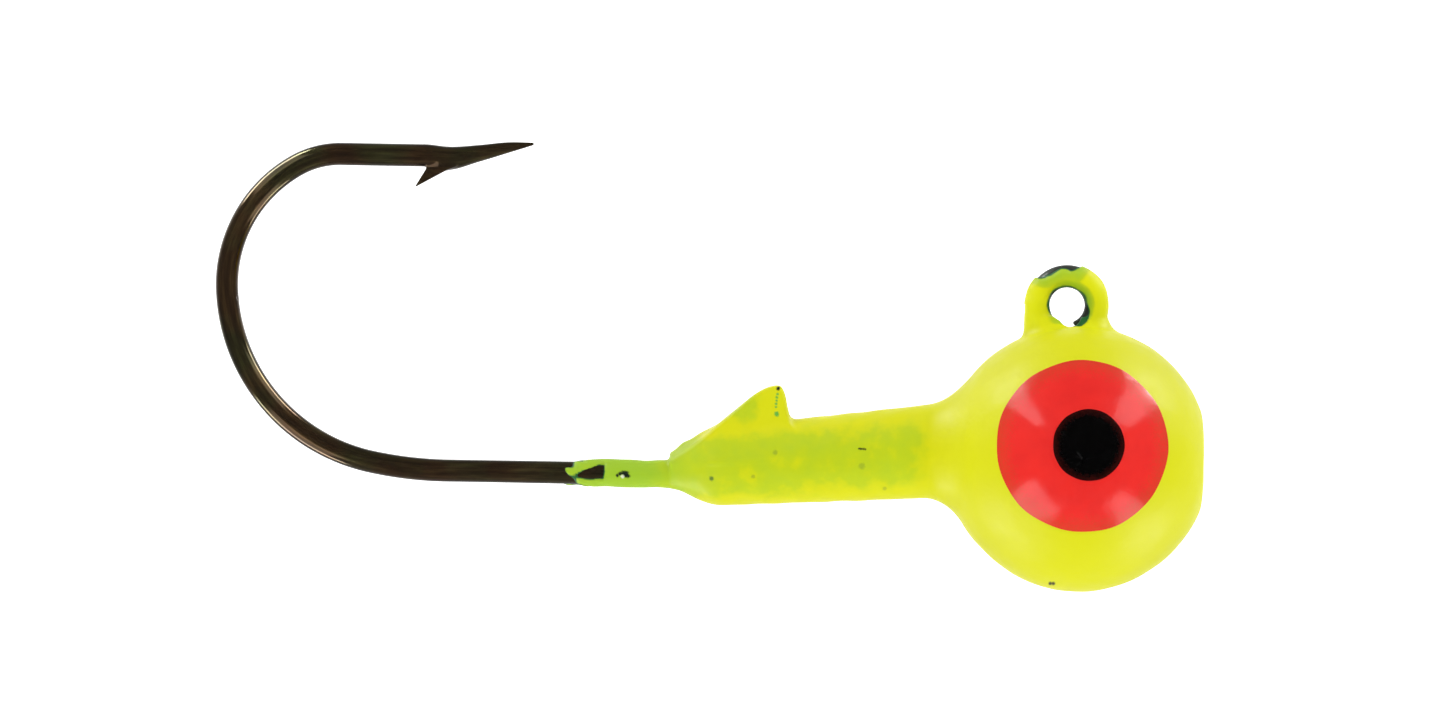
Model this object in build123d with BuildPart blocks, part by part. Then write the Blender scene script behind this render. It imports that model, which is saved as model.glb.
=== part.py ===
from build123d import *
import os
from math import cos, radians, sin, tan

# Jig head: a forged bronze jig hook with a lead ball head cast round its eye leg and shank,
# a coat of powder paint over the lead, and a painted eye on each side of the ball.
#
# Millimetres. Origin: centre of the line-tie hole. +X: along the shank, towards the nose.
# +Z: from the shank towards the line tie and the point. The hook lies in the XZ plane.

# ---- Hook: one round wire, bent flat ----
WIRE_R = 0.5
EYE_R = 1.26                # line-tie eye, origin to the wire's centreline
EYE_END = -62               # where the eye's cut end stops, degrees from +X
LEG_BEND_R = 1.6            # the right-angle bend buried in the ball
SHANK_Z = -7.71
SHANK_END_X = -26.99        # where the shank starts to bend
BEND = [(17.5, 11.2), (8.03, 75.7), (6.0, 62.5), (3.90, 30.6)]    # radius, turn in degrees
SPEAR_X = -28.2             # where the wire starts to taper to the point
SPEAR = [                   # x, height of the middle, half thickness
    (-27.2, 5.99, 0.52),
    (-25.9, 6.22, 0.38),
    (-24.6, 6.50, 0.23),
    (-23.5, 6.68, 0.04),
]
BARB = [                    # side outline: tip, heel, then the root inside the wire
    (-28.72, 4.66),
    (-27.66, 5.24),
    (-26.90, 5.66),
    (-26.90, 6.10),
    (-27.85, 6.10),
    (-27.99, 5.68),
]
BARB_ROOT_W = 0.76
BARB_TIP_W = 0.12

# ---- Lead casting ----
BALL_X, BALL_Z = 0.57, -6.74
BALL_R = 5.75
NOSE_X = 5.97               # flat left where the sprue was cut off
NOSE_ROUND = 0.6
COLLAR_AIM = (-5.9, -6.52)  # a point on the collar's own axis, which climbs towards the ball
COLLAR_CLIMB = 5.1          # degrees
COLLAR_TAIL_X = -17.15
COLLAR_TAIL_R = 0.68
COLLAR_KNEE = (1.6, 1.61)   # from the tail along the axis, radius
COLLAR_KNEE_ROUND = 2.5
COLLAR_ROOT = (15.0, 2.09)
COLLAR_FILLET = 2.6         # where the collar meets the ball
KEEPER = [                  # side outline of the bait keeper; its foot is inside the collar
    (-17.00, -7.10),
    (-13.30, -3.94),
    (-12.35, -3.94),
    (-12.02, -5.35),
    (-11.70, -6.60),
    (-15.50, -7.10),
]
KEEPER_ROUND = 0.30
KEEPER_FOOT = (-7.2, 1.62)  # height, half width
KEEPER_CREST = (-3.9, 0.55)
KEEPER_TAIL_HALF = 0.55     # half width at the rear end of its ramp
KEEPER_FULL_X = -15.4       # from here to the front it is as wide as its foot
NECK_TOP_Z = -0.60          # the lead that runs up between the eye's leg and its cut end
NECK_FOOT_Z = -2.4
NECK_TOP = (3.40, 0.92)     # length, width
NECK_FOOT = (5.10, 2.60)

# ---- Paint ----
PAINT = 0.08
TIE_HOLE_R = 0.78           # the punch that clears paint out of the eye just skims the wire
TIE_NOTCH = (0.12, -0.47, 0.48)     # x, z and radius of the hollow where the eye's cut end shows
TIE_POOL = 0.25             # paint pools this thick on the lead beside the notch
PAINT_END_X = -21.45        # the thin end of the paint on the shank
PAINT_LAP = 1.0             # the paint on the shank runs this far into the collar
SHANK_CHIP = [              # bare wedge on the right side of the shank, its narrow end to the rear
    (-21.35, -7.77),
    (-20.22, -7.30),
    (-20.22, -7.99),
    (-21.35, -7.90),
]
EYE_CHIP = (-0.62, 2.45, 0.94)      # x, z and radius of the bare patch on top of the line tie

# ---- Painted eyes ----
EYE_PAINT = 0.05            # each colour is one coat thick
IRIS = (0.57, -6.13, 3.72)  # x, z, radius
PUPIL = (0.80, -6.07, 1.55)


def collar_frame():
    """A plane at the collar's tail with its own X along the collar's axis."""
    climb = radians(COLLAR_CLIMB)
    tail_z = COLLAR_AIM[1] - (COLLAR_AIM[0] - COLLAR_TAIL_X) * tan(climb)
    return Plane(origin=(COLLAR_TAIL_X, 0, tail_z), x_dir=(cos(climb), 0, sin(climb)), z_dir=(0, -1, 0))


def keeper_form(growth):
    """The wedge that bites into a soft bait, moved out by growth."""
    foot_z, foot_half = KEEPER_FOOT
    crest_z, crest_half = KEEPER_CREST
    with BuildPart() as wedge:
        with BuildSketch(Plane.XZ) as side:
            with BuildLine():
                Polyline(*KEEPER, close=True)
            make_face()
            if growth:
                offset(amount=growth, kind=Kind.INTERSECTION)
            crest = side.vertices().sort_by(Axis.Y)[-2:]
            fillet(crest, radius=KEEPER_ROUND + growth)
        extrude(amount=2 * foot_half, both=True)
        with BuildSketch(Plane.YZ):
            with BuildLine():
                Polyline(
                    (-foot_half - growth, foot_z - growth),
                    (foot_half + growth, foot_z - growth),
                    (crest_half + growth, crest_z + growth),
                    (-crest_half - growth, crest_z + growth),
                    close=True,
                )
            make_face()
        extrude(amount=2 * COLLAR_TAIL_X, both=True, mode=Mode.INTERSECT)
        with BuildSketch(Plane.XY.offset(KEEPER[0][1] - WIRE_R)):
            with BuildLine():
                Polyline(
                    (KEEPER[0][0] - growth, -KEEPER_TAIL_HALF - growth),
                    (KEEPER_FULL_X, -foot_half - growth),
                    (0, -foot_half - growth),
                    (0, foot_half + growth),
                    (KEEPER_FULL_X, foot_half + growth),
                    (KEEPER[0][0] - growth, KEEPER_TAIL_HALF + growth),
                    close=True,
                )
            make_face()
        extrude(amount=BALL_R, mode=Mode.INTERSECT)
    return wedge.part


def head_form(growth):
    """The casting's outside without the hook's hole, moved out by growth."""
    frame = collar_frame()
    with BuildPart() as form:
        with Locations((BALL_X, 0, BALL_Z)):
            Sphere(BALL_R + growth)
        with BuildSketch(frame):
            with BuildLine():
                Polyline(
                    (-growth, 0),
                    (-growth, COLLAR_TAIL_R + growth),
                    (COLLAR_KNEE[0] - growth / 2, COLLAR_KNEE[1] + growth),
                    (COLLAR_ROOT[0], COLLAR_ROOT[1] + growth),
                    (COLLAR_ROOT[0], 0),
                    close=True,
                )
            knee = make_face().vertices().sort_by(Axis.X)[2]
            fillet(knee, radius=COLLAR_KNEE_ROUND)
        revolve(axis=Axis(frame.origin, frame.x_dir))
        collar_root = form.edges(Select.LAST).sort_by(Axis.X)[-1]
        fillet(collar_root, radius=COLLAR_FILLET - growth)
        split(bisect_by=Plane(origin=(NOSE_X + growth, 0, 0), z_dir=(1, 0, 0)), keep=Keep.BOTTOM)
        nose_rim = form.faces().sort_by(Axis.X)[-1].edges()
        fillet(nose_rim, radius=NOSE_ROUND)
        add(keeper_form(growth))
        for height, (length, width) in ((NECK_FOOT_Z, NECK_FOOT), (NECK_TOP_Z + growth, NECK_TOP)):
            with BuildSketch(Plane.XY.offset(height)):
                SlotOverall(length + 2 * growth, width + 2 * growth)
        loft()
        pool = TIE_POOL * (1 - growth / PAINT)
        with BuildSketch(Plane.XZ):
            Circle(TIE_HOLE_R + pool)
            with Locations(TIE_NOTCH[:2]):
                Circle(TIE_NOTCH[2] + PAINT - growth)
        extrude(amount=2 * WIRE_R, both=True, mode=Mode.SUBTRACT)
    return form.part


def eye_form(spot, underside, side):
    """One coat of paint on the ball: spot is its (x, z, radius), side is -1 right or 1 left."""
    x, z, radius = spot
    with BuildPart() as disc:
        with Locations((BALL_X, 0, BALL_Z)):
            Sphere(underside + EYE_PAINT)
            Sphere(underside, mode=Mode.SUBTRACT)
        with BuildSketch(Plane.XZ):
            with Locations((x, z)):
                Circle(radius)
        extrude(amount=-2 * BALL_R * side, mode=Mode.INTERSECT)
    return disc.part


# ---- Hook ----
with BuildPart() as barb:
    with BuildSketch(Plane.XZ):
        with BuildLine():
            Polyline(*BARB, close=True)
        make_face()
    extrude(amount=WIRE_R, both=True)
    with BuildSketch(Plane.XY):
        with BuildLine():
            Polyline(
                (BARB[0][0], -BARB_TIP_W / 2),
                (BARB[1][0], -BARB_ROOT_W / 2),
                (BARB[2][0] + WIRE_R, -BARB_ROOT_W / 2),
                (BARB[2][0] + WIRE_R, BARB_ROOT_W / 2),
                (BARB[1][0], BARB_ROOT_W / 2),
                (BARB[0][0], BARB_TIP_W / 2),
                close=True,
            )
        make_face()
    extrude(amount=BARB[3][1] + WIRE_R, mode=Mode.INTERSECT)

with BuildPart() as hook:
    with BuildLine(Plane.XZ) as wire:
        CenterArc((0, 0), EYE_R, EYE_END, 180 - EYE_END)
        leg = Line((-EYE_R, 0), (-EYE_R, SHANK_Z + LEG_BEND_R))
        elbow = JernArc(leg @ 1, leg % 1, LEG_BEND_R, -90)
        shank = Line(elbow @ 1, (SHANK_END_X, SHANK_Z))
        run = shank
        for bend_radius, turn in BEND:
            run = JernArc(run @ 1, run % 1, bend_radius, -turn)
        spear_z = (run @ 1).Z
        Line(run @ 1, (SPEAR_X, spear_z))
    with BuildSketch(Plane(origin=wire.wire() @ 0, z_dir=wire.wire() % 0)):
        Circle(WIRE_R)
    sweep(path=wire.wire())
    for x, z, half in [(SPEAR_X, spear_z, WIRE_R)] + SPEAR:
        with BuildSketch(Plane.YZ.offset(x)):
            with Locations((0, z)):
                Circle(half)
    loft()
    add(barb.part)
    with BuildSketch(Plane.XZ):
        Circle(TIE_HOLE_R)
    extrude(amount=WIRE_R, both=True, mode=Mode.SUBTRACT)
hook.part.label = "hook"

# ---- Lead head ----
with BuildPart() as lead_head:
    add(head_form(0))
    add(hook.part, mode=Mode.SUBTRACT)
lead_head.part.label = "lead_head"

# ---- Paint coat ----
with BuildPart() as paint_coat:
    add(head_form(PAINT))
    with BuildLine(Plane.XZ) as eye_wire:
        CenterArc((0, 0), EYE_R, EYE_END, 180 - EYE_END)
        Line((-EYE_R, 0), (-EYE_R, NECK_FOOT_Z))
    with BuildSketch(Plane(origin=eye_wire.wire() @ 0, z_dir=eye_wire.wire() % 0)):
        Circle(WIRE_R + PAINT)
    sweep(path=eye_wire.wire())
    with BuildSketch(Plane.YZ.offset(PAINT_END_X)):
        with Locations((0, SHANK_Z)):
            Circle(WIRE_R + PAINT)
    extrude(amount=COLLAR_TAIL_X + PAINT_LAP - PAINT_END_X)
    add(head_form(0), mode=Mode.SUBTRACT)
    add(hook.part, mode=Mode.SUBTRACT)
    with BuildSketch(Plane.XZ):
        Circle(TIE_HOLE_R)
        with Locations(TIE_NOTCH[:2]):
            Circle(TIE_NOTCH[2])
        with Locations(EYE_CHIP[:2]):
            Circle(EYE_CHIP[2])
    extrude(amount=2 * WIRE_R, both=True, mode=Mode.SUBTRACT)
    with BuildSketch(Plane.XZ):
        with BuildLine():
            Polyline(*SHANK_CHIP, close=True)
        make_face()
    extrude(amount=2 * WIRE_R, mode=Mode.SUBTRACT)
paint_coat.part.label = "paint_coat"

# ---- Painted eyes ----
with BuildPart() as right_eye_iris:
    add(eye_form(IRIS, BALL_R + PAINT, -1))
right_eye_iris.part.label = "right_eye_iris"

with BuildPart() as right_eye_pupil:
    add(eye_form(PUPIL, BALL_R + PAINT + EYE_PAINT, -1))
right_eye_pupil.part.label = "right_eye_pupil"

with BuildPart() as left_eye_iris:
    add(eye_form(IRIS, BALL_R + PAINT, 1))
left_eye_iris.part.label = "left_eye_iris"

with BuildPart() as left_eye_pupil:
    add(eye_form(PUPIL, BALL_R + PAINT + EYE_PAINT, 1))
left_eye_pupil.part.label = "left_eye_pupil"

os.makedirs("parts", exist_ok=True)
export_step(hook.part, "parts/hook.step")
export_step(lead_head.part, "parts/lead_head.step")
export_step(paint_coat.part, "parts/paint_coat.step")
export_step(right_eye_iris.part, "parts/right_eye_iris.step")
export_step(right_eye_pupil.part, "parts/right_eye_pupil.step")
export_step(left_eye_iris.part, "parts/left_eye_iris.step")
export_step(left_eye_pupil.part, "parts/left_eye_pupil.step")
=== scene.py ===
from math import cos, pi, radians, sin, tan

import bpy
import numpy as np
from mathutils import Matrix, Vector


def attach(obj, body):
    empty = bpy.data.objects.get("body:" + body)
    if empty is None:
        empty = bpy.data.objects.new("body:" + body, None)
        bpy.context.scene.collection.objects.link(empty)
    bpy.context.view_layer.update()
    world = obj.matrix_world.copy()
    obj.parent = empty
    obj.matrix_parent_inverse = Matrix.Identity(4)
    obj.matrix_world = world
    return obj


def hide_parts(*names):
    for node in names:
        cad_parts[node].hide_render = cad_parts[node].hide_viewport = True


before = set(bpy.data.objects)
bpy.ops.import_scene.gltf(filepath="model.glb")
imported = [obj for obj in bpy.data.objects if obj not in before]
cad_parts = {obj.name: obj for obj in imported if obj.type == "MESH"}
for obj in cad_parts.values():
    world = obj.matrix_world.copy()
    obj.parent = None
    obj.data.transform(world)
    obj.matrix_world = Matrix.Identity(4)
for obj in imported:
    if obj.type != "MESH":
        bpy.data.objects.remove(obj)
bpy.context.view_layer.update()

# Shapes are worked out in millimetres, in the frame of the CAD, and become metres as meshes.
MM = 0.001

# ---- Hook wire: one line of arcs and straights in the XZ plane ----
WIRE_R = 0.5
EYE_R = 1.26
EYE_END = -70.0             # degrees round the eye
EYE_FLAT_Z = -0.88          # below this the cut end is flush with the neck
EYE_END_EDGE = 0.06
EYE_STUB_X = -0.2           # below the middle, only what lies in front of this is the cut end
LEG_BEND_R = 1.6
SHANK_Z = -7.71
SHANK_END_X = -26.99
BEND = [(17.5, 11.2), (8.03, 75.7), (6.0, 62.5), (3.90, 30.6)]  # radius, degrees
SPEAR_X = -28.2
SPEAR = [                   # x, z, radius
    (-27.2, 5.99, 0.52),
    (-25.9, 6.22, 0.38),
    (-24.6, 6.50, 0.24),
    (-23.5, 6.68, 0.06),
]
SPEAR_LEAD_IN = 0.6         # the point's outline starts this far back on the straight wire
SPEAR_LAP = 0.1             # and its solid this far back
BARB = [(-28.72, 4.66), (-27.66, 5.24), (-26.90, 5.66), (-26.90, 6.10), (-27.85, 6.10)]
BARB_HALF = (0.06, 0.38)    # half width at its tip and its heel
BARB_EDGE = 0.08
BARB_CREASE = 0.14
NICK = (-36.28, -0.22, -0.29, 0.11)  # a dent in the bend: place, radius
WIRE_ROUGH = 0.004
WIRE_CREASE = 0.05          # how far the hook's own creases are rounded

# ---- Painted casting ----
PAINT = 0.08
BALL = (0.57, -6.74)        # x, z of its middle
BALL_R = 5.75 + PAINT
BALL_LUMPS = [              # where its outline is full or flat: middle, width, rise
    (radians(140), radians(17), 0.07),
    (radians(-132), radians(22), -0.08),
    (radians(20), 0.2, -0.03),
]
NOSE_X = 5.95 + PAINT
NOSE_ROUGH = 0.012
NOSE_EDGE = 0.12
COLLAR_AIM = (-5.9, -6.52)
COLLAR_CLIMB = radians(5.1)
COLLAR_TAIL_X = -17.15
COLLAR_TAIL_R = 0.68
COLLAR_KNEE = (1.6, 1.61)   # length from the tail, radius
COLLAR_ROOT = (15.0, 2.09)
COLLAR_EDGES = (0.3, 0.1)   # rounding at the knee and at both ends
COLLAR_FILLET = 1.15
KEEPER = [
    (-17.00, -7.10),
    (-13.38, -4.02),
    (-12.82, -3.78),
    (-12.26, -3.86),
    (-12.07, -5.30),
    (-11.70, -6.60),
    (-15.50, -7.10),
]
KEEPER_FOOT = (-7.2, 1.62)  # z, half width
KEEPER_CREST = (-3.9, 0.55)
KEEPER_TAIL = (-17.0, 0.55)  # x, half width
KEEPER_FULL_X = -15.4
KEEPER_EDGES = (0.22, 0.16, 0.2)  # rounding of its outline, flanks and tail
KEEPER_CREASE = 0.32
NECK_TOP = (-0.60 + PAINT, 3.40 / 2 + PAINT, 0.92 / 2 + PAINT)  # z, half length, half width
NECK_FOOT = (-2.40, 4.40 / 2 + PAINT, 2.60 / 2 + PAINT)
NECK_FOOT_X = 0.35
NECK_ROOT = 1.5             # how far it runs on into the ball
NECK_EDGE = 0.15
NECK_CREASE = 0.3
TAIL_KNOB = (-16.70, -6.40, 0.28, 0.09)  # a lump of paint: x, z, size, rise
TIE_HOLE_R = 0.765
TIE_NOTCH = (0.12, -0.47, 0.49)  # x, z, radius
TIE_EDGE = 0.02
TIE_WALL = 0.2              # the lead stands this far back from the tie's hole
IRIS = (0.57, -6.13, 3.72)  # x, z, radius
PUPIL = (0.80, -6.07, 1.55)
EYE_PAINT = 0.05
SLEEVE_CREASE = 0.18        # where the paint runs from the head onto the wire
EYE_CREASE = 0.12
TIE_PAINT_EDGE = 0.06
COLLAR_START = (-5.5, -8.0)
PARTING_LINE = (0.016, 0.09)  # height and half width of the mould's seam
SEAM_DEPTHS = (2.0, 0.5)    # the seam dies out away from the surface
PAINT_ROUGH = (0.006, 0.006, 0.016)  # coarse, fine on the ball, fine on the collar

# ---- Where the paint on the wire is thin, worn or chipped ----
GAP = 0.01                  # between the lead, the wire and the paint
LEAD_EDGE = 0.05
BARE = -0.12                # a film thickness that lies well inside the wire
SLEEVE_END_X = -22.3
PAINT_END = (-21.50, 0.30)  # x, raggedness
PAINT_END_SWAY = (0.25, 1.3)
CHIP = [(-21.37, -7.76), (-20.16, -7.32), (-20.16, -7.99), (-21.37, -7.90)]
WORN_ANGLE = np.radians([68, 72, 79, 85, 93, 101, 110, 120, 131, 138, 142])
WORN_REACH = np.array([2.2, 1.76, 1.60, 1.51, 1.58, 1.62, 1.55, 1.48, 1.59, 1.76, 2.2])
WORN_MIDDLE = radians(104)
SLOT = (0.02, 0.28, radians(-24), radians(38))  # bare strip in the eye: width at both ends, angles
SLOT_SPAN = (-0.94, 0.3, 1.4)  # lowest, highest, and how far from the hole's middle
SLOT_RAGGED = 0.02
RIM = (1.1, -0.45, 0.010)   # round the hole's edge: how far out, lowest, wear
WORN_FLOOR = 0.5
CHIP_EDGE = 0.05
RAGGED = 0.03
FILM_LUMPS = (0.012, 0.006)  # coarse, fine
FILM_SLOPES = (0.16, 0.9, 0.5, 0.6, 0.32)  # film gained per mm from the end, chip, wear, slot and rim

FAR = 9.0                   # a distance that never is the nearest

dice = np.random.default_rng(7)


# ---- Distance fields ----
def smooth_min(a, b, k):
    """The nearer of two surfaces, with the crease between them filled."""
    h = np.maximum(k - np.abs(a - b), 0) / k
    return np.minimum(a, b) - h * h * k / 4


def smooth_max(a, b, k):
    return -smooth_min(-a, -b, k)


def round_min(a, b, r):
    """Two surfaces joined by a round fillet."""
    return np.maximum(r, np.minimum(a, b)) - np.hypot(np.maximum(r - a, 0), np.maximum(r - b, 0))


def fade(x, start, end):
    """0 before start, 1 after end, smooth between."""
    t = np.clip((x - start) / (end - start), 0, 1)
    return t * t * (3 - 2 * t)


def turned_clockwise(corners):
    area = sum(a[0] * b[1] - b[0] * a[1] for a, b in zip(corners, corners[1:] + corners[:1]))
    return corners if area < 0 else corners[::-1]


def convex(px, pz, corners, k):
    """A convex outline, its corners slightly rounded."""
    f = None
    corners = turned_clockwise(corners)
    for (ax, az), (bx, bz) in zip(corners, corners[1:] + corners[:1]):
        run, rise = bx - ax, bz - az
        side = ((pz - az) * run - (px - ax) * rise) / np.hypot(run, rise)
        f = side if f is None else smooth_max(f, side, k)
    return f


def make_ripple(size, waves=9):
    """A smooth random field of about +-1 whose lumps are about size wide."""
    way = dice.normal(size=(waves, 3))
    way /= np.linalg.norm(way, axis=1)[:, None]
    pitch = 2 * pi / (size * dice.uniform(1.4, 3.0, waves))
    phase = dice.uniform(0, 2 * pi, waves)

    def ripple(x, y, z):
        total = 0
        for (a, b, c), q, p in zip(way, pitch, phase):
            total = total + np.sin(q * (a * x + b * y + c * z) + p)
        return total / np.sqrt(waves)

    return ripple


coarse_lumps = make_ripple(2.2)
fine_lumps = make_ripple(0.55)
edge_lumps = make_ripple(0.35)


def hook_line():
    """The wire's straights and arcs: (kind, start, numbers..., length along the wire before it)."""
    line, along = [], 0.0
    place, heading = np.array((-EYE_R, 0.0)), np.array((0.0, -1.0))

    def straight(length):
        nonlocal place, along
        line.append(("straight", place.copy(), heading.copy(), length, along))
        place = place + heading * length
        along += length

    def turn(radius, sweep):
        nonlocal place, heading, along
        right = np.array((heading[1], -heading[0]))
        centre = place + radius * right
        start = np.arctan2(-right[1], -right[0])
        line.append(("arc", centre, radius, start, sweep, along))
        c, s = cos(sweep), sin(sweep)
        place = centre - radius * np.array((c * right[0] + s * right[1], c * right[1] - s * right[0]))
        heading = np.array((c * heading[0] + s * heading[1], c * heading[1] - s * heading[0]))
        along += radius * sweep

    straight(-SHANK_Z - LEG_BEND_R)
    turn(LEG_BEND_R, pi / 2)
    straight(place[0] - SHANK_END_X)
    for radius, sweep in BEND:
        turn(radius, radians(sweep))
    spear_z = place[1]
    straight(SPEAR_X - place[0])
    return line, spear_z


LINE, SPEAR_Z = hook_line()


def wire_place(x, z):
    """Distance to the wire's middle line, length along it, and offset to its outer side."""
    best, along, side = 1e9, 0.0, 0.0
    for part in LINE:
        if part[0] == "straight":
            _, start, way, length, before = part
            t = np.clip((x - start[0]) * way[0] + (z - start[1]) * way[1], 0, length)
            out = (x - start[0]) * -way[1] + (z - start[1]) * way[0]
            d = np.hypot(x - start[0] - t * way[0], z - start[1] - t * way[1])
        else:
            _, centre, radius, start, sweep, before = part
            angle = (start - np.arctan2(z - centre[1], x - centre[0])) % (2 * pi)
            angle = np.where(angle > sweep / 2 + pi, 0, np.minimum(angle, sweep))
            t = radius * angle
            out = np.hypot(x - centre[0], z - centre[1]) - radius
            on_x = centre[0] + radius * np.cos(start - angle)
            on_z = centre[1] + radius * np.sin(start - angle)
            d = np.hypot(x - on_x, z - on_z)
        nearer = d < best
        best = np.where(nearer, d, best)
        along = np.where(nearer, before + t, along)
        side = np.where(nearer, out, side)
    return best, along, side


def eye_place(x, z):
    """Length along the eye, below zero from the top of the leg on, and offset to its outer side."""
    return (np.arctan2(z, x) - pi) * EYE_R, np.hypot(x, z) - EYE_R


def eye_field(x, y, z, film):
    """The eye's wire with a film on it, cut square at its end."""
    out = np.hypot(x, z) - EYE_R
    ring = np.hypot(out, y) - WIRE_R - film
    end = radians(EYE_END)
    past_end = (x - EYE_R * cos(end)) * sin(end) - (z - EYE_R * sin(end)) * cos(end)
    stub = smooth_max(ring, np.maximum(past_end, EYE_FLAT_Z - z), EYE_END_EDGE)
    on_leg_side = np.where(x > EYE_STUB_X, 0.0, FAR)
    return np.where(z > 0, ring, stub + on_leg_side)


def hermite(x, knots, values):
    """A smooth curve through the knots."""
    slopes = np.gradient(values, knots)
    i = np.clip(np.searchsorted(knots, x) - 1, 0, len(knots) - 2)
    h = knots[i + 1] - knots[i]
    t = np.clip((x - knots[i]) / h, 0, 1)
    a, b = values[i], values[i + 1]
    p, q = slopes[i] * h, slopes[i + 1] * h
    return a + t * (p + t * (3 * (b - a) - 2 * p - q + t * (p + q - 2 * (b - a))))


SPEAR_KNOTS = np.array([SPEAR_X - SPEAR_LEAD_IN, SPEAR_X] + [k[0] for k in SPEAR])
SPEAR_MIDDLE = np.array([SPEAR_Z, SPEAR_Z] + [k[1] for k in SPEAR])
SPEAR_HALF = np.array([WIRE_R, WIRE_R] + [k[2] for k in SPEAR])


def spear_field(x, y, z):
    """The ground point with its sliced barb."""
    middle = hermite(x, SPEAR_KNOTS, SPEAR_MIDDLE)
    half = hermite(x, SPEAR_KNOTS, SPEAR_HALF)
    cone = np.hypot(z - middle, y) - half
    cone = np.maximum(cone, x - SPEAR_KNOTS[-1])
    cone = np.maximum(cone, SPEAR_X - SPEAR_LAP - x)
    share = np.clip((x - BARB[0][0]) / (BARB[1][0] - BARB[0][0]), 0, 1)
    half_width = BARB_HALF[0] + (BARB_HALF[1] - BARB_HALF[0]) * share
    barb = smooth_max(convex(x, z, BARB, WIRE_CREASE), np.abs(y) - half_width, BARB_EDGE)
    return smooth_min(cone, barb, BARB_CREASE)


def hook_field(x, y, z):
    body = np.hypot(wire_place(x, z)[0], y) - WIRE_R
    f = np.minimum(body, eye_field(x, y, z, 0.0))
    f = np.minimum(f, spear_field(x, y, z))
    nick_x, nick_y, nick_z, nick_r = NICK
    nick = np.sqrt((x - nick_x) ** 2 + (y - nick_y) ** 2 + (z - nick_z) ** 2) - nick_r
    f = smooth_max(f, -nick, WIRE_CREASE)
    f = smooth_max(f, TIE_HOLE_R - np.hypot(x, z), TIE_EDGE)
    return f + WIRE_ROUGH * coarse_lumps(x, y, z)


def keeper_field(x, y, z):
    foot_z, foot_half = KEEPER_FOOT
    crest_z, crest_half = KEEPER_CREST
    outline_edge, flank_edge, tail_edge = KEEPER_EDGES
    lean = (foot_half - crest_half) / (crest_z - foot_z)
    f = convex(x, z, KEEPER, outline_edge)
    flank = (np.abs(y) - crest_half - lean * (crest_z - z)) * cos(np.arctan(lean))
    f = smooth_max(f, flank, flank_edge)
    tail_x, tail_half = KEEPER_TAIL
    spread = (foot_half - tail_half) / (KEEPER_FULL_X - tail_x)
    plan = (np.abs(y) - tail_half - spread * (x - tail_x)) * cos(np.arctan(spread))
    return smooth_max(f, plan, tail_edge) - PAINT


def collar_field(x, y, z):
    tail_z = COLLAR_AIM[1] - (COLLAR_AIM[0] - COLLAR_TAIL_X) * tan(COLLAR_CLIMB)
    c, s = cos(COLLAR_CLIMB), sin(COLLAR_CLIMB)
    t = (x - COLLAR_TAIL_X) * c + (z - tail_z) * s
    up = (z - tail_z) * c - (x - COLLAR_TAIL_X) * s
    rho = np.hypot(up, y)
    knee_t, knee_r = COLLAR_KNEE
    root_t, root_r = COLLAR_ROOT
    tail_slope = np.arctan2(knee_r - COLLAR_TAIL_R, knee_t)
    body_slope = np.arctan2(root_r - knee_r, root_t - knee_t)
    tail = (rho - COLLAR_TAIL_R) * cos(tail_slope) - t * sin(tail_slope)
    body = (rho - knee_r) * cos(body_slope) - (t - knee_t) * sin(body_slope)
    knee_edge, end_edge = COLLAR_EDGES
    f = smooth_max(tail, body, knee_edge)
    f = smooth_max(f, -t, end_edge)
    return smooth_max(f, t - root_t, end_edge) - PAINT


def neck_field(x, y, z):
    """A tapering stadium from the ball up to the eye."""
    foot_z, foot_long, foot_wide = NECK_FOOT
    top_z, top_long, top_wide = NECK_TOP
    t = np.clip((z - foot_z) / (top_z - foot_z), 0, 1)
    long = foot_long + (top_long - foot_long) * t
    wide = foot_wide + (top_wide - foot_wide) * t
    aside = np.abs(x - NECK_FOOT_X * (1 - t)) - (long - wide)
    f = np.hypot(np.maximum(aside, 0), y) - wide
    f = smooth_max(f, foot_z - NECK_ROOT - z, NECK_EDGE)
    return smooth_max(f, z - top_z, NECK_EDGE)


def ball_field(x, y, z):
    """The ball, a little flat low at the back, a little full high at the back."""
    f = np.sqrt((x - BALL[0]) ** 2 + y * y + (z - BALL[1]) ** 2) - BALL_R
    turn = np.arctan2(z - BALL[1], x - BALL[0])
    for middle, width, rise in BALL_LUMPS:
        f = f - rise * np.exp(-((((turn - middle + pi) % (2 * pi)) - pi) / width) ** 2)
    nose = x - NOSE_X + NOSE_ROUGH * fine_lumps(x, y, z)
    return smooth_max(f, nose, NOSE_EDGE)


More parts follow.
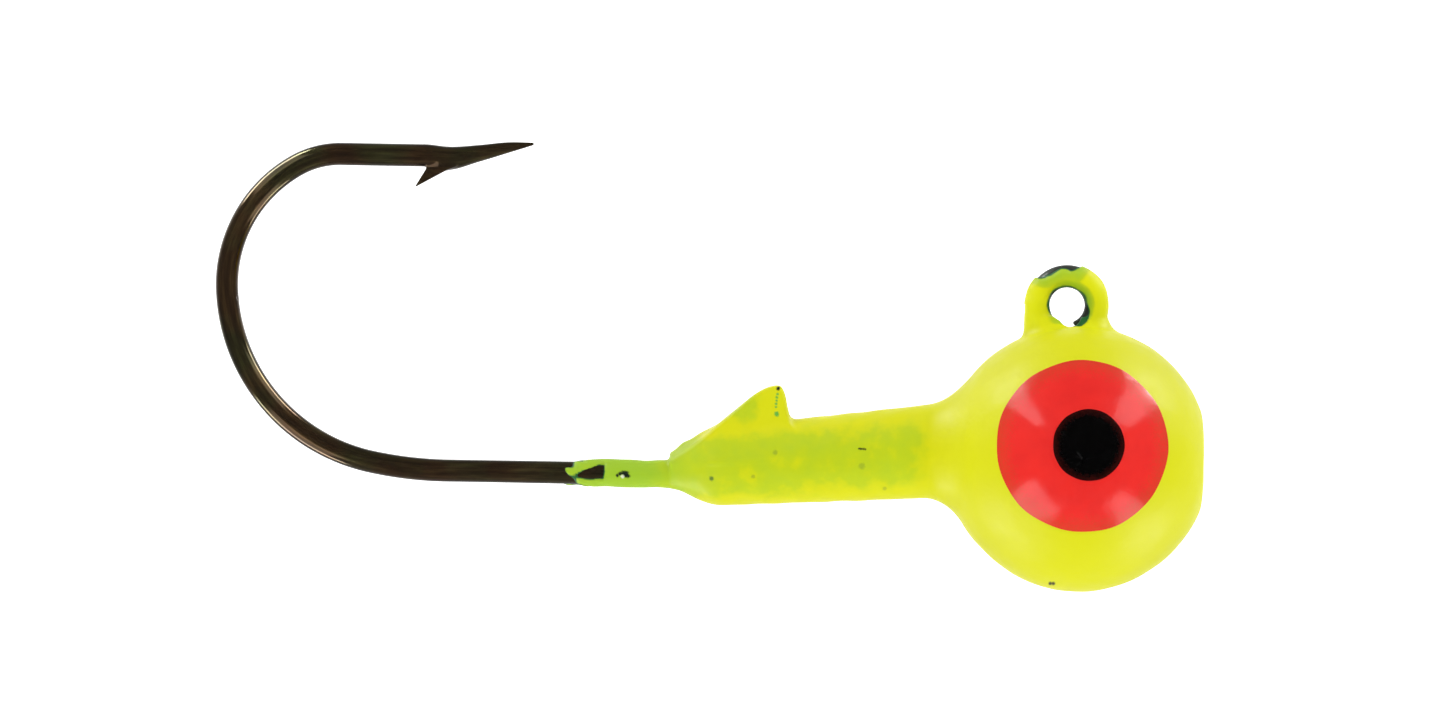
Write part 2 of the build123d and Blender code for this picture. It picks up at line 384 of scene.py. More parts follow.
def film_thickness(x, y, z):
    """The powder coat on the wire, below zero where the wire is bare."""
    coarse_rise, fine_rise = FILM_LUMPS
    end_slope, chip_slope, worn_slope, slot_slope, rim_slope = FILM_SLOPES
    ragged = edge_lumps(x, y, z)
    reach, angle = np.hypot(x, z), np.arctan2(z, x)

    h = PAINT + coarse_rise * coarse_lumps(x, y, z) + fine_rise * fine_lumps(x, y, z)
    sway, turns = PAINT_END_SWAY
    end_x = PAINT_END[0] + PAINT_END[1] * ragged + sway * np.sin(turns * np.arctan2(y, z - SHANK_Z))
    h = np.minimum(h, end_slope * (x - end_x))

    chip = convex(x, z, CHIP, CHIP_EDGE) + np.where(y > 0, FAR, 0.0) + RAGGED * ragged
    h = np.minimum(h, chip_slope * chip)

    worn = reach - np.interp(angle, WORN_ANGLE, WORN_REACH) + RAGGED * ragged
    h = np.minimum(h, np.where(z > WORN_FLOOR, -worn_slope * worn, FAR))

    narrow, growth, start, end = SLOT
    slot = narrow + growth * fade(-angle, start, end) - (reach - TIE_HOLE_R) + SLOT_RAGGED * ragged
    slot_floor, slot_top, slot_reach = SLOT_SPAN
    in_eye = (x > 0) & (z < slot_top) & (z > slot_floor) & (reach < slot_reach)
    h = np.minimum(h, np.where(in_eye, -slot_slope * slot, FAR))

    rim_reach, rim_floor, rim_wear = RIM
    rim = rim_slope * (reach - TIE_HOLE_R) - rim_wear * (1 + ragged)
    return np.minimum(h, np.where((reach < rim_reach) & (z > rim_floor), rim, FAR))


def head_field(x, y, z):
    """The painted head without the wire's sleeves."""
    f = round_min(ball_field(x, y, z), collar_field(x, y, z), COLLAR_FILLET)
    f = smooth_min(f, keeper_field(x, y, z), KEEPER_CREASE)
    knob_x, knob_z, knob_size, knob_rise = TAIL_KNOB
    f = f - knob_rise * np.exp(-((x - knob_x) ** 2 + y * y + (z - knob_z) ** 2) / knob_size**2)
    return smooth_min(f, neck_field(x, y, z), NECK_CREASE)


def hole_field(x, z):
    """The way through the line tie, with the hollow at the wire's cut end."""
    notch = np.hypot(x - TIE_NOTCH[0], z - TIE_NOTCH[1]) - TIE_NOTCH[2]
    return np.minimum(np.hypot(x, z) - TIE_HOLE_R, notch)


def lead_field(x, y, z):
    """The casting under the paint, with the wire's own channel through it."""
    f = smooth_max(head_field(x, y, z) + PAINT + GAP, TIE_WALL - hole_field(x, z), LEAD_EDGE)
    return np.maximum(f, WIRE_R + GAP - np.hypot(wire_place(x, z)[0], y))


def paint_field(x, y, z):
    """The outside of the powder coat over the lead and the wire."""
    film = np.maximum(film_thickness(x, y, z), BARE)
    sleeve = np.hypot(wire_place(x, z)[0], y) - WIRE_R - np.where(x > COLLAR_AIM[0], PAINT, film)
    sleeve = np.maximum(sleeve, SLEEVE_END_X - x)
    f = smooth_min(head_field(x, y, z), sleeve, SLEEVE_CREASE)
    f = smooth_min(f, eye_field(x, y, z, film), EYE_CREASE)
    seam_rise, seam_half = PARTING_LINE
    f = f - seam_rise * np.exp(-((y / seam_half) ** 2)) * fade(np.abs(f + 1), *SEAM_DEPTHS)
    f = smooth_max(f, -hole_field(x, z), TIE_PAINT_EDGE)
    coarse_rough, ball_rough, collar_rough = PAINT_ROUGH
    rough = ball_rough + (collar_rough - ball_rough) * fade(x, *COLLAR_START)
    return f - coarse_rough * coarse_lumps(x, y, z) - rough * fine_lumps(x, y, z)


# ---- Meshing ----
def gradient(field, p, step=0.004):
    x, y, z = p.T
    return np.stack(
        [
            field(x + step, y, z) - field(x - step, y, z),
            field(x, y + step, z) - field(x, y - step, z),
            field(x, y, z + step) - field(x, y, z - step),
        ],
        axis=1,
    ) / (2 * step)


def net(field, xs, ys, zs):
    """Vertices, quads and normals of the field's zero surface, on a box grid of uneven steps."""
    shape = (len(xs), len(ys), len(zs))
    values = np.broadcast_to(field(xs[:, None, None], ys[None, :, None], zs[None, None, :]), shape)
    inside = values < 0
    count = np.zeros([n - 1 for n in shape], np.int8)
    corners = [(a, b, c) for a in (0, 1) for b in (0, 1) for c in (0, 1)]
    for a, b, c in corners:
        count += inside[a : shape[0] - 1 + a, b : shape[1] - 1 + b, c : shape[2] - 1 + c]
    mixed = (count > 0) & (count < 8)
    number = np.full(mixed.shape, -1, np.int64)
    number[mixed] = np.arange(mixed.sum())
    i, j, k = np.nonzero(mixed)
    total, crossings = np.zeros((len(i), 3)), np.zeros(len(i))
    for start in corners:
        for axis in range(3):
            if start[axis]:
                continue
            end = list(start)
            end[axis] = 1
            v0 = values[i + start[0], j + start[1], k + start[2]]
            v1 = values[i + end[0], j + end[1], k + end[2]]
            cut = (v0 < 0) != (v1 < 0)
            t = np.where(cut, v0 / np.where(cut, v0 - v1, 1), 0)
            p0 = np.stack([xs[i + start[0]], ys[j + start[1]], zs[k + start[2]]], 1)
            p1 = np.stack([xs[i + end[0]], ys[j + end[1]], zs[k + end[2]]], 1)
            total += np.where(cut[:, None], p0 + t[:, None] * (p1 - p0), 0)
            crossings += cut
    points = total / crossings[:, None]
    quads = []
    for axis, (u, v) in enumerate(((1, 2), (2, 0), (0, 1))):
        low = [slice(1, n - 1) for n in shape]
        high = list(low)
        low[axis], high[axis] = slice(0, shape[axis] - 1), slice(1, shape[axis])
        flips = inside[tuple(low)] != inside[tuple(high)]
        at = np.stack(np.nonzero(flips), 1)
        at[:, u] += 1
        at[:, v] += 1
        ring = []
        for du, dv in ((-1, -1), (0, -1), (0, 0), (-1, 0)):
            cell = at.copy()
            cell[:, u] += du
            cell[:, v] += dv
            ring.append(number[cell[:, 0], cell[:, 1], cell[:, 2]])
        ring = np.stack(ring, 1)
        outward = inside[at[:, 0], at[:, 1], at[:, 2]]
        quads.append(np.where(outward[:, None], ring, ring[:, ::-1]))
    quads = np.concatenate(quads)
    longest_move, least_slope = 0.05, 0.05
    for _ in range(4):
        g = gradient(field, points)
        f = field(*points.T)
        move = f[:, None] * g / np.maximum((g * g).sum(1), least_slope)[:, None]
        size = np.linalg.norm(move, axis=1)[:, None]
        points = points - move * np.minimum(1, longest_move / np.maximum(size, 1e-9))
    normals = gradient(field, points)
    normals /= np.linalg.norm(normals, axis=1)[:, None]
    return points, quads.tolist(), normals


def steps(*stretches):
    """Grid lines: (start, step) pairs and the last line's place."""
    lines = []
    for (start, size), (end, _) in zip(stretches, stretches[1:]):
        count = max(1, round((end - start) / size))
        lines += list(np.linspace(start, end, count, endpoint=False))
    return np.array(lines + [stretches[-1][0]])


def piece(name, points, faces, normals, cad_node, made_material, facts):
    """A shown piece that stands for one CAD node; facts are values at its points for its material."""
    mesh = bpy.data.meshes.new(name)
    mesh.from_pydata((points * MM).tolist(), [], faces)
    mesh.polygons.foreach_set("use_smooth", np.ones(len(mesh.polygons), bool))
    mesh.normals_split_custom_set_from_vertices(normals.tolist())
    for key, values in facts.items():
        if values.ndim == 2:
            mesh.attributes.new(key, "FLOAT_VECTOR", "POINT").data.foreach_set("vector", values.ravel())
        else:
            mesh.attributes.new(key, "FLOAT", "POINT").data.foreach_set("value", values)
    made = bpy.data.objects.new(name, mesh)
    bpy.context.scene.collection.objects.link(made)
    mesh.materials.append(made_material)
    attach(made, "root")
    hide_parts(cad_node)


# ---- Materials ----
def material(name):
    made = bpy.data.materials.new(name)
    made.use_nodes = True
    tree = made.node_tree
    return made, tree, tree.nodes["Principled BSDF"]


def node(tree, kind, inputs=None, **settings):
    made = tree.nodes.new(kind)
    for key, value in settings.items():
        setattr(made, key, value)
    for key, value in (inputs or {}).items():
        if isinstance(value, bpy.types.NodeSocket):
            tree.links.new(value, made.inputs[key])
        else:
            made.inputs[key].default_value = value
    return made


def calc(tree, operation, a, b=0.0, c=0.0):
    return node(tree, "ShaderNodeMath", {0: a, 1: b, 2: c}, operation=operation).outputs[0]


def ramp(tree, value, *stops):
    """A colour ramp: stops are (place, colour or grey)."""
    made = node(tree, "ShaderNodeValToRGB", {"Fac": value})
    bar = made.color_ramp
    while len(bar.elements) < len(stops):
        bar.elements.new(0.5)
    for stop, (place, colour) in zip(bar.elements, stops):
        stop.position = place
        stop.color = (*colour, 1) if isinstance(colour, tuple) else (colour, colour, colour, 1)
    return made.outputs["Color"]


def mix(tree, factor, a, b, kind="MIX"):
    made = node(tree, "ShaderNodeMix", {0: factor, 6: a, 7: b}, data_type="RGBA", blend_type=kind)
    return made.outputs[2]


def noise(tree, place, scale, detail=2.0, roughness=0.5):
    inputs = {"Vector": place, "Scale": scale, "Detail": detail, "Roughness": roughness}
    return node(tree, "ShaderNodeTexNoise", inputs).outputs["Fac"]


def millimetres(tree):
    place = node(tree, "ShaderNodeTexCoord").outputs["Object"]
    return node(tree, "ShaderNodeVectorMath", {0: place, 3: 1 / MM}, operation="SCALE").outputs[0]


def stirred(tree, base, texture, amount):
    """A value, pushed up and down by a noise."""
    return calc(tree, "MULTIPLY_ADD", calc(tree, "SUBTRACT", texture, 0.5), amount, base)


def fact(tree, name, output="Fac"):
    return node(tree, "ShaderNodeAttribute", attribute_name=name).outputs[output]


def bump(tree, height, strength, distance, normal=None):
    inputs = {"Height": height, "Strength": strength, "Distance": distance * MM}
    if normal:
        inputs["Normal"] = normal
    return node(tree, "ShaderNodeBump", inputs).outputs["Normal"]


def finish_shader(tree, shader, colour, roughness, normal, specular, coat=0.0):
    tree.links.new(colour, shader.inputs["Base Color"])
    tree.links.new(roughness, shader.inputs["Roughness"])
    tree.links.new(normal, shader.inputs["Normal"])
    shader.inputs["Specular IOR Level"].default_value = specular
    shader.inputs["Coat Weight"].default_value = coat
    shader.inputs["Coat Roughness"].default_value = 0.10


YELLOW = (0.700, 0.708, 0.004)
# Painted light: a lighter yellow for the paint on the eye's ring, standing in for light the ring gets too
# little of.
PAINTED_LIGHT_EYE_YELLOW = (0.760, 0.780, 0.004)
COLLAR_YELLOW = (0.530, 0.640, 0.010)
LIME = (0.350, 0.570, 0.028)
GREEN = (0.060, 0.420, 0.060)
DARK_GREEN = (0.020, 0.120, 0.030)
NEAR_BLACK = (0.004, 0.010, 0.006)
# A painted glint: a white highlight painted into the pinhole.
PAINTED_GLINT_WHITE = (0.75, 0.80, 0.60)
RED = ((0.88, 0.018, 0.012), (0.80, 0.014, 0.011), (0.60, 0.050, 0.008))  # two shades, worn edge
BLACK = ((0.0004, 0.0004, 0.0005), (0.0010, 0.0008, 0.0008), (0.05, 0.004, 0.003))
BRONZE = ((0.019, 0.012, 0.005), (0.034, 0.023, 0.009), (0.062, 0.049, 0.020))
BRONZE_TINTS = ((1.00, 0.66, 0.50), (0.95, 0.86, 0.66), (0.68, 0.92, 0.62))  # coppery, brown, olive
EYE_GREY = (0.020, 0.030, 0.026)
LEAD_GREYS = ((0.16, 0.165, 0.175), (0.27, 0.275, 0.285))
SPECKS = [  # x, z, radius, strength, colour: dirt, pinholes and a painted glint on the right side
    (-12.61, -3.87, 0.10, 1.0, NEAR_BLACK),
    (-12.64, -4.12, 0.07, 0.80, GREEN),
    (-12.66, -4.26, 0.07, 0.80, GREEN),
    (-12.67, -4.40, 0.06, 0.80, GREEN),
    (-12.69, -4.54, 0.07, 0.80, GREEN),
    (-12.69, -4.68, 0.06, 0.80, GREEN),
    (-12.66, -4.99, 0.12, 0.90, GREEN),
    (-9.05, -6.43, 0.05, 0.80, NEAR_BLACK),
    (-8.98, -6.44, 0.06, 0.85, NEAR_BLACK),
    (-8.91, -6.44, 0.06, 0.85, NEAR_BLACK),
    (-8.84, -6.44, 0.06, 0.85, NEAR_BLACK),
    (-8.77, -6.45, 0.05, 0.80, NEAR_BLACK),
    (-8.92, -7.19, 0.16, 0.30, DARK_GREEN),
    (-15.46, -7.85, 0.11, 0.80, DARK_GREEN),
    (-13.65, -7.73, 0.10, 0.35, DARK_GREEN),
    (-12.70, -6.66, 0.12, 0.35, DARK_GREEN),
    (-7.89, -8.16, 0.10, 0.30, DARK_GREEN),
    (-0.60, -12.18, 0.09, 0.95, NEAR_BLACK),
    (-0.47, -12.18, 0.09, 0.95, NEAR_BLACK),
    (-19.59, -7.80, 0.08, 0.97, NEAR_BLACK),
    (-19.47, -7.71, 0.10, 0.97, NEAR_BLACK),
    (-19.33, -7.67, 0.11, 0.97, NEAR_BLACK),
    (-19.20, -7.71, 0.13, 0.97, NEAR_BLACK),
    (-19.12, -7.80, 0.11, 0.97, NEAR_BLACK),
    (-19.24, -7.79, 0.11, 0.90, NEAR_BLACK),
    # Painted glint: a white highlight in the pinhole.
    (-19.36, -7.84, 0.09, 0.90, PAINTED_GLINT_WHITE),
]


def paint_material():
    made, tree, shader = material("chartreuse_powder_coat")
    place = millimetres(tree)
    film = fact(tree, "film")
    thin = fact(tree, "thin")
    cloud = noise(tree, place, 0.55, 3.0)
    mottle = noise(tree, place, 1.5, 3.0, 0.5)
    grain = noise(tree, place, 14.0, 2.0)
    shifted = stirred(tree, stirred(tree, film, mottle, 0.42), cloud, 0.30)
    # Painted light: the paint on the eye's ring turns to a lighter yellow that stands in for light.
    yellow = mix(tree, fact(tree, "eye"), (*YELLOW, 1), (*PAINTED_LIGHT_EYE_YELLOW, 1))
    colour = ramp(tree, shifted, (0.16, YELLOW), (0.42, COLLAR_YELLOW), (0.95, LIME))
    colour = mix(tree, ramp(tree, shifted, (0.16, 0.0), (0.42, 1.0)), yellow, colour)
    thinned = stirred(tree, thin, mottle, 0.5)
    colour = mix(tree, ramp(tree, thinned, (0.25, 0.0), (0.75, 1.0)), colour, (*DARK_GREEN, 1))
    parts = node(tree, "ShaderNodeSeparateXYZ", {0: place})
    right = calc(tree, "LESS_THAN", parts.outputs["Y"], 0.0)
    # Specks of dirt and pinholes, and one painted glint, on the side facing the camera.
    for x, z, radius, strength, tint in SPECKS:
        flat = node(tree, "ShaderNodeCombineXYZ", {"X": parts.outputs["X"], "Z": parts.outputs["Z"]})
        gap = node(tree, "ShaderNodeVectorMath", {0: flat.outputs[0], 1: (x, 0, z)}, operation="DISTANCE")
        wobble = stirred(tree, gap.outputs["Value"], grain, radius)
        core, rim = radius * 0.55, radius * 1.15
        spread = {"Value": wobble, "From Min": core, "From Max": rim, "To Min": strength, "To Max": 0.0}
        spot = node(tree, "ShaderNodeMapRange", spread)
        amount = calc(tree, "MULTIPLY", spot.outputs[0], right)
        colour = mix(tree, amount, colour, (*tint, 1))
    roughness = ramp(tree, mottle, (0.3, 0.42), (0.7, 0.50))
    peel = noise(tree, place, 4.5, 1.0)
    normal = bump(tree, peel, 0.30, 0.03)
    normal = bump(tree, grain, 0.05, 0.006, normal)
    finish_shader(tree, shader, colour, roughness, normal, specular=0.12)
    return made


def eye_material(name, colours, specular, roughness_range):
    made, tree, shader = material(name)
    place = millimetres(tree)
    cloud = noise(tree, place, 0.9, 3.0)
    grain = noise(tree, place, 10.0, 2.0)
    colour = ramp(tree, cloud, (0.3, colours[0]), (0.7, colours[1]))
    edge = fact(tree, "edge")
    worn = stirred(tree, edge, grain, 0.35)
    colour = mix(tree, ramp(tree, worn, (0.80, 0.0), (1.0, 0.55)), colour, (*colours[2], 1))
    roughness = ramp(tree, grain, (0.3, roughness_range[0]), (0.7, roughness_range[1]))
    peel = noise(tree, place, 4.5, 1.0)
    normal = bump(tree, peel, 0.20, 0.03)
    normal = bump(tree, grain, 0.06, 0.004, normal)
    finish_shader(tree, shader, colour, roughness, normal, specular)
    return made


def bronze_material():
    made, tree, shader = material("bronzed_high_carbon_wire")
    wire = fact(tree, "wire", "Vector")
    drawn_out = {0: wire, 1: (0.30, 3.0, 3.0)}
    stretched = node(tree, "ShaderNodeVectorMath", drawn_out, operation="MULTIPLY").outputs[0]
    place = millimetres(tree)
    streak = noise(tree, stretched, 1.6, 4.0, 0.55)
    blotch = noise(tree, place, 0.42, 3.0)
    grain = noise(tree, place, 18.0, 2.0)
    pit = noise(tree, place, 5.0, 2.0)
    colour = ramp(tree, streak, *zip((0.30, 0.50, 0.70), BRONZE))
    tint = ramp(tree, blotch, *zip((0.38, 0.47, 0.60), BRONZE_TINTS))
    colour = mix(tree, 0.75, colour, tint, "MULTIPLY")
    roughness = ramp(tree, streak, (0.3, 0.10), (0.7, 0.18))
    along = node(tree, "ShaderNodeSeparateXYZ", {0: wire}).outputs["X"]
    on_eye = calc(tree, "LESS_THAN", along, 0.0)
    roughness = calc(tree, "MULTIPLY_ADD", on_eye, 0.40, roughness)
    colour = mix(tree, calc(tree, "MULTIPLY", on_eye, 0.75), colour, (*EYE_GREY, 1))
    normal = bump(tree, streak, 0.15, 0.015)
    normal = bump(tree, pit, 0.10, 0.015, normal)
    normal = bump(tree, grain, 0.10, 0.004, normal)
    finish_shader(tree, shader, colour, roughness, normal, specular=0.2, coat=0.15)
    shader.inputs["Metallic"].default_value = 0.85
    return made


def lead_material():
    made, tree, shader = material("cast_lead")
    place = millimetres(tree)
    cloud = noise(tree, place, 1.3, 4.0)
    grain = noise(tree, place, 9.0, 3.0)
    colour = ramp(tree, cloud, (0.3, LEAD_GREYS[0]), (0.7, LEAD_GREYS[1]))
    roughness = ramp(tree, grain, (0.3, 0.42), (0.7, 0.62))
    normal = bump(tree, grain, 0.4, 0.02)
    finish_shader(tree, shader, colour, roughness, normal, specular=0.4)
    shader.inputs["Metallic"].default_value = 1.0
    return made


# ---- Hook ----
hook_points, hook_quads, hook_normals = net(
    hook_field,
    steps((-37.6, 0.065), (-28.95, 0.045), (-23.3, 0.075), (-2.2, 0.06), (2.0, 0.06)),
    steps((-0.62, 0.062), (0.62, 0)),
    steps((-8.4, 0.06), (4.4, 0.05), (6.9, 0)),
)


def wire_facts(points):
    """Length along the wire, and where on its round each point is, in mm."""
    x, y, z = points.T
    _, along, side = wire_place(x, z)
    eye_along, eye_side = eye_place(x, z)
    on_eye = (np.hypot(x, z) < EYE_R + WIRE_R + 0.1) & ((z > 0) | (x > 0))
    along = np.where(on_eye, eye_along, along)
    side = np.where(on_eye, eye_side, side)
    return np.stack([along, side, y], 1)


piece(
    "hook_wire",
    hook_points,
    hook_quads,
    hook_normals,
    "hook",
    bronze_material(),
    {"wire": wire_facts(hook_points)},
)

# ---- Lead casting, closed in by its paint ----
lead_points, lead_quads, lead_normals = net(
    lead_field,
    steps((-17.5, 0.16), (-11.4, 0.18), (-2.4, 0.12), (2.6, 0.2), (6.3, 0)),
    steps((-6.0, 0.2), (-1.0, 0.11), (1.0, 0.2), (6.0, 0)),
    steps((-12.8, 0.2), (-8.8, 0.12), (-6.9, 0.17), (-2.8, 0.11), (0.0, 0)),
)
piece("lead_core", lead_points, lead_quads, lead_normals, "lead_head", lead_material(), {})

# ---- Powder coat ----
paint_points, paint_quads, paint_normals = net(
    paint_field,
    steps((-22.6, 0.08), (-17.6, 0.11), (-11.4, 0.13), (-2.4, 0.075), (2.6, 0.15), (6.5, 0)),
    steps((-6.1, 0.16), (-2.2, 0.11), (-1.0, 0.075), (1.0, 0.11), (2.2, 0.16), (6.1, 0)),
    steps((-12.9, 0.15), (-8.8, 0.085), (-6.9, 0.12), (-2.8, 0.07), (2.2, 0)),
)

THIN_FILM = 0.055           # below this the dark wire starts to show through
WIRE_TOP_Z = -1.2           # above this the paint lies on the eye's wire
PAINTED_LIGHT_EYE_ZONE = (-1.6, -0.6)     # z, over which the head's paint turns into the eye's, where a lighter yellow is painted on as painted light
# Greener stretches: strength first, then pairs of places between which each fades in.
GREEN_COLLAR = (0.45, (-5.0, -7.0))
GREEN_COLLAR_END = (-16.0, -18.0)
GREEN_FLANKS = (0.65, (0.8, 1.9))  # the share lost, and how far from the collar's axis
GREEN_SLEEVE = (0.95, (-15.6, -18.5))
GREEN_KEEPER = (0.40, (-6.0, -5.0), (-12.7, -13.9), (-17.0, -16.0))  # z, x, x
GREEN_EYE = (0.8, 2.0)      # strength, and how far from the eye's middle
NEAR_WORN = ((0.5, 1.5), (0.4, 0.9), (0.55, 1.0))  # reach, z, angle from its middle
NEAR_SLOT = ((0.15, 0.60), (-1.4, 0.0), (-1.0, -0.7))  # distance from the hole, x, z


def paint_facts(points):
    """How thin the paint is on the wire, how green it is, and where it lies on the eye, where a lighter
    yellow is painted on as painted light, all 0 to 1.
    """
    x, y, z = points.T
    on_wire = (x < COLLAR_TAIL_X - 0.1) | (z > WIRE_TOP_Z)
    thin = np.where(on_wire, 1 - fade(film_thickness(x, y, z), 0.0, THIN_FILM), 0.0)

    off_axis = np.abs(z - COLLAR_AIM[1] - tan(COLLAR_CLIMB) * (x - COLLAR_AIM[0]))
    strength, start = GREEN_COLLAR
    lost, flanks = GREEN_FLANKS
    green = strength * fade(x, *start) * (1 - lost * fade(off_axis, *flanks))
    green = green * (1 - fade(x, *GREEN_COLLAR_END))
    strength, start = GREEN_SLEEVE
    green = green + strength * fade(x, *start)
    strength, rise, front, back = GREEN_KEEPER
    green = np.maximum(green, strength * fade(z, *rise) * fade(x, *front) * fade(x, *back))

    reach, angle = np.hypot(x, z), np.arctan2(z, x)
    outward, upward, sideways = NEAR_WORN
    near_worn = fade(reach, *outward) * fade(z, *upward)
    near_worn = near_worn * (1 - fade(np.abs(angle - WORN_MIDDLE), *sideways))
    outward, forward, upward = NEAR_SLOT
    near_slot = (1 - fade(reach - TIE_HOLE_R, *outward)) * fade(x, *forward) * fade(z, *upward)
    strength, eye_reach = GREEN_EYE
    green = green + strength * np.maximum(near_worn, near_slot) * (reach < eye_reach)
    # eye: where the lighter yellow of painted light is laid on.
    return {"thin": thin, "film": np.clip(green, 0, 1), "eye": fade(z, *PAINTED_LIGHT_EYE_ZONE)}


piece(
    "paint_skin",
    paint_points,
    paint_quads,
    paint_normals,
    "paint_coat",
    paint_material(),
    paint_facts(paint_points),
)


# ---- Painted eyes ----
RING_CROWDING = 1.6         # rings of points lie closer together near the edge
EDGE_SHARPNESS = 24         # the coat keeps its thickness almost up to its edge
EDGE_WAVER = ((5, 1.0, 0.004), (11, 2.0, 0.003))  # waves round the edge, start, share of the radius
EYE_Y_RANGE = (2.0, 7.5)    # the coats' points are searched between these, from the middle plane
HALVINGS = 36
EYE_SINK = 0.03             # the coat's underside lies this deep in the coat below


def cap(name, spot, side, under, node_name, made_material):
    """One coat of colour on the ball: a thin disc that follows the paint under it."""
    x0, z0, radius = spot
    around, rings = 128, 44
    shares = 1 - (1 - np.linspace(0, 1, rings + 1)[1:]) ** RING_CROWDING
    angle = np.linspace(0, 2 * pi, around, endpoint=False)
    share, turn = np.meshgrid(shares, angle, indexing="ij")
    waver = 1 + sum(rise * np.sin(waves * turn + start) for waves, start, rise in EDGE_WAVER)
    x = np.concatenate([[x0], (x0 + radius * waver * share * np.cos(turn)).ravel()])
    z = np.concatenate([[z0], (z0 + radius * waver * share * np.sin(turn)).ravel()])
    share = np.concatenate([[0], share.ravel()])
    count = len(x)

    def place(height):
        """The points on the side of the ball where the paint's field has this height."""
        near, far = np.full(count, EYE_Y_RANGE[0]), np.full(count, EYE_Y_RANGE[1])
        for _ in range(HALVINGS):
            middle = (near + far) / 2
            outside = paint_field(x, side * middle, z) > height
            near, far = np.where(outside, near, middle), np.where(outside, middle, far)
        return np.stack([x, side * (near + far) / 2, z], 1)

    top = place(under + EYE_PAINT * np.sqrt(np.clip(1 - share**EDGE_SHARPNESS, 0, 1)))
    foot = place(np.full(count, under - EYE_SINK))
    faces = []
    for base, flip in ((0, side > 0), (count, side < 0)):
        for a in range(around):
            b = (a + 1) % around
            tri = [base, base + 1 + a, base + 1 + b]
            faces.append(tri[::-1] if flip else tri)
            for r in range(rings - 1):
                lo, hi = base + 1 + r * around, base + 1 + (r + 1) * around
                quad = [lo + a, hi + a, hi + b, lo + b]
                faces.append(quad[::-1] if flip else quad)
    last = 1 + (rings - 1) * around
    for a in range(around):
        b = (a + 1) % around
        quad = [last + a, count + last + a, count + last + b, last + b]
        faces.append(quad[::-1] if side > 0 else quad)
    points = np.concatenate([top, foot])
    normals = gradient(paint_field, points)
    normals /= np.linalg.norm(normals, axis=1)[:, None]
    normals[count:] *= -1
    facts = {"edge": np.concatenate([share, np.ones(count)])}
    piece(name, points, faces, normals, node_name, made_material, facts)


red = eye_material("red_lacquer", RED, specular=0.32, roughness_range=(0.16, 0.22))
black = eye_material("black_lacquer", BLACK, specular=0.03, roughness_range=(0.16, 0.24))
for hand, side in (("right", -1), ("left", 1)):
    cap(hand + "_iris", IRIS, side, 0.0, hand + "_eye_iris", red)
    cap(hand + "_pupil", PUPIL, side, EYE_PAINT, hand + "_eye_pupil", black)


# ---- Stage, light and camera ----
VIEW_TILT = radians(0.95)
VIEW_MIDDLE = Vector((-15.067, 0, -2.728)) * MM
VIEW_WIDTH = 63.38 * MM
LENS = 200                  # mm, on a sensor 36 mm wide
CLIP = (0.01, 10)           # from here on, lengths in metres
FLOOR_Z = -0.20
FLOOR_R = 0.9
FLOOR_BEND_R = 0.4
WALL_TOP = 1.2
BACKDROP_GLOW = (0.1, 1.0, 0.88)  # starts and is full at these depths, strength
WORLD_LIGHT = 0.5
LAMP_REACH = 0.20
STRIP = (radians(70), (0.075, 0.19), 0.15)  # polar angle, size, energy
ROD_POLAR = radians(98)
ROD_SIZE = (0.11, 0.045)
ROD_ENERGY = (0.46, 0.28)   # the upper and the lower rods
GREY = (0.82, 0.82, 0.82, 1)
PURE_WHITE = (1, 1, 1, 1)


def bowl():
    """A pale floor that curves up into a wall all round, and glows behind the object."""
    wall_r, bend_z = FLOOR_R + FLOOR_BEND_R, FLOOR_Z + FLOOR_BEND_R
    bend = np.linspace(0.1, pi / 2, 10)
    profile = [(0.0, FLOOR_Z), (FLOOR_R, FLOOR_Z)]
    profile += [(FLOOR_R + FLOOR_BEND_R * sin(t), bend_z - FLOOR_BEND_R * cos(t)) for t in bend]
    profile += [(wall_r, WALL_TOP)]
    around = 72
    points, faces = [], []
    for r, height in profile:
        for a in range(around):
            t = 2 * pi * a / around
            points.append((r * cos(t), r * sin(t), height))
    for ring in range(len(profile) - 1):
        for a in range(around):
            b = (a + 1) % around
            lo, hi = ring * around, (ring + 1) * around
            faces.append((lo + a, lo + b, hi + b, hi + a))
    mesh = bpy.data.meshes.new("bowl")
    mesh.from_pydata(points, [], faces)
    mesh.polygons.foreach_set("use_smooth", np.ones(len(mesh.polygons), bool))
    made = bpy.data.objects.new("bowl", mesh)
    bpy.context.scene.collection.objects.link(made)
    cloth, tree, shader = material("pale_backdrop")
    shader.inputs["Base Color"].default_value = GREY
    shader.inputs["Roughness"].default_value = 0.9
    shader.inputs["Specular IOR Level"].default_value = 0.0
    shader.inputs["Emission Color"].default_value = PURE_WHITE
    place = node(tree, "ShaderNodeTexCoord").outputs["Object"]
    depth = node(tree, "ShaderNodeSeparateXYZ", {0: place}).outputs["Y"]
    start, full, strength = BACKDROP_GLOW
    spread = {"Value": depth, "From Min": start, "From Max": full, "To Min": 0.0, "To Max": strength}
    glow = node(tree, "ShaderNodeMapRange", spread, interpolation_type="SMOOTHSTEP")
    tree.links.new(glow.outputs[0], shader.inputs["Emission Strength"])
    mesh.materials.append(cloth)


bowl()

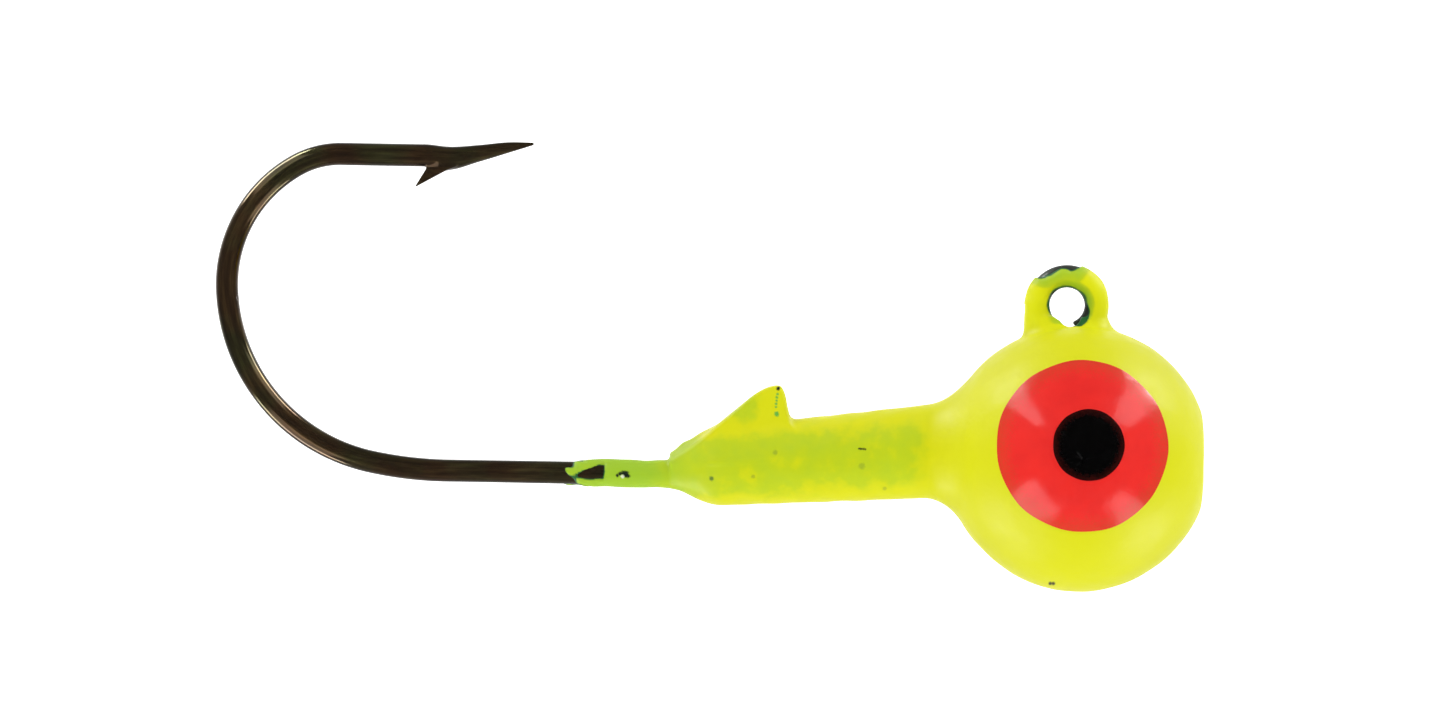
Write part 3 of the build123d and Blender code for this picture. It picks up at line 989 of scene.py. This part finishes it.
world = bpy.data.worlds.new("studio")
bpy.context.scene.world = world
world.use_nodes = True
world.node_tree.nodes["Background"].inputs["Color"].default_value = PURE_WHITE
world.node_tree.nodes["Background"].inputs["Strength"].default_value = WORLD_LIGHT

ball_middle = Vector((BALL[0], 0, BALL[1])) * MM


def facing(right, up, back):
    """The turn that points an object's X, Y and Z these ways."""
    return Matrix((right, up, back)).transposed().to_4x4()


def lamp(name, turn, polar, size, energy, lights_paint=True):
    """A long lamp that faces the ball: turn from +X in the wire's plane, polar from -Y."""
    data = bpy.data.lights.new(name, "AREA")
    data.shape = "RECTANGLE"
    data.size, data.size_y = size
    data.energy = energy
    made = bpy.data.objects.new(name, data)
    bpy.context.scene.collection.objects.link(made)
    way = Vector((sin(polar) * cos(turn), -cos(polar), sin(polar) * sin(turn)))
    across = Vector((-sin(turn), 0, cos(turn)))
    place = Matrix.Translation(ball_middle + way * LAMP_REACH)
    made.matrix_world = place @ facing(across, way.cross(across), way)
    made.visible_camera = False
    made.visible_diffuse = lights_paint


for number, turn in enumerate((45, 135, 225, 315)):
    lamp(f"strip_{number}", radians(turn), *STRIP)
    rod_energy = ROD_ENERGY[0] if turn < 180 else ROD_ENERGY[1]
    lamp(f"rod_{number}", radians(turn), ROD_POLAR, ROD_SIZE, rod_energy, lights_paint=False)

camera_data = bpy.data.cameras.new("camera")
camera_data.lens = LENS
camera_data.sensor_width = 36
camera_data.clip_start, camera_data.clip_end = CLIP
camera = bpy.data.objects.new("camera", camera_data)
bpy.context.scene.collection.objects.link(camera)
distance = VIEW_WIDTH * camera_data.lens / camera_data.sensor_width
right = Vector((cos(VIEW_TILT), 0, sin(VIEW_TILT)))
up = Vector((-sin(VIEW_TILT), 0, cos(VIEW_TILT)))
back = right.cross(up)
camera.matrix_world = Matrix.Translation(VIEW_MIDDLE + back * distance) @ facing(right, up, back)
bpy.context.scene.camera = camera

bpy.context.scene.view_settings.view_transform = "Standard"
bpy.context.scene.view_settings.look = "None"
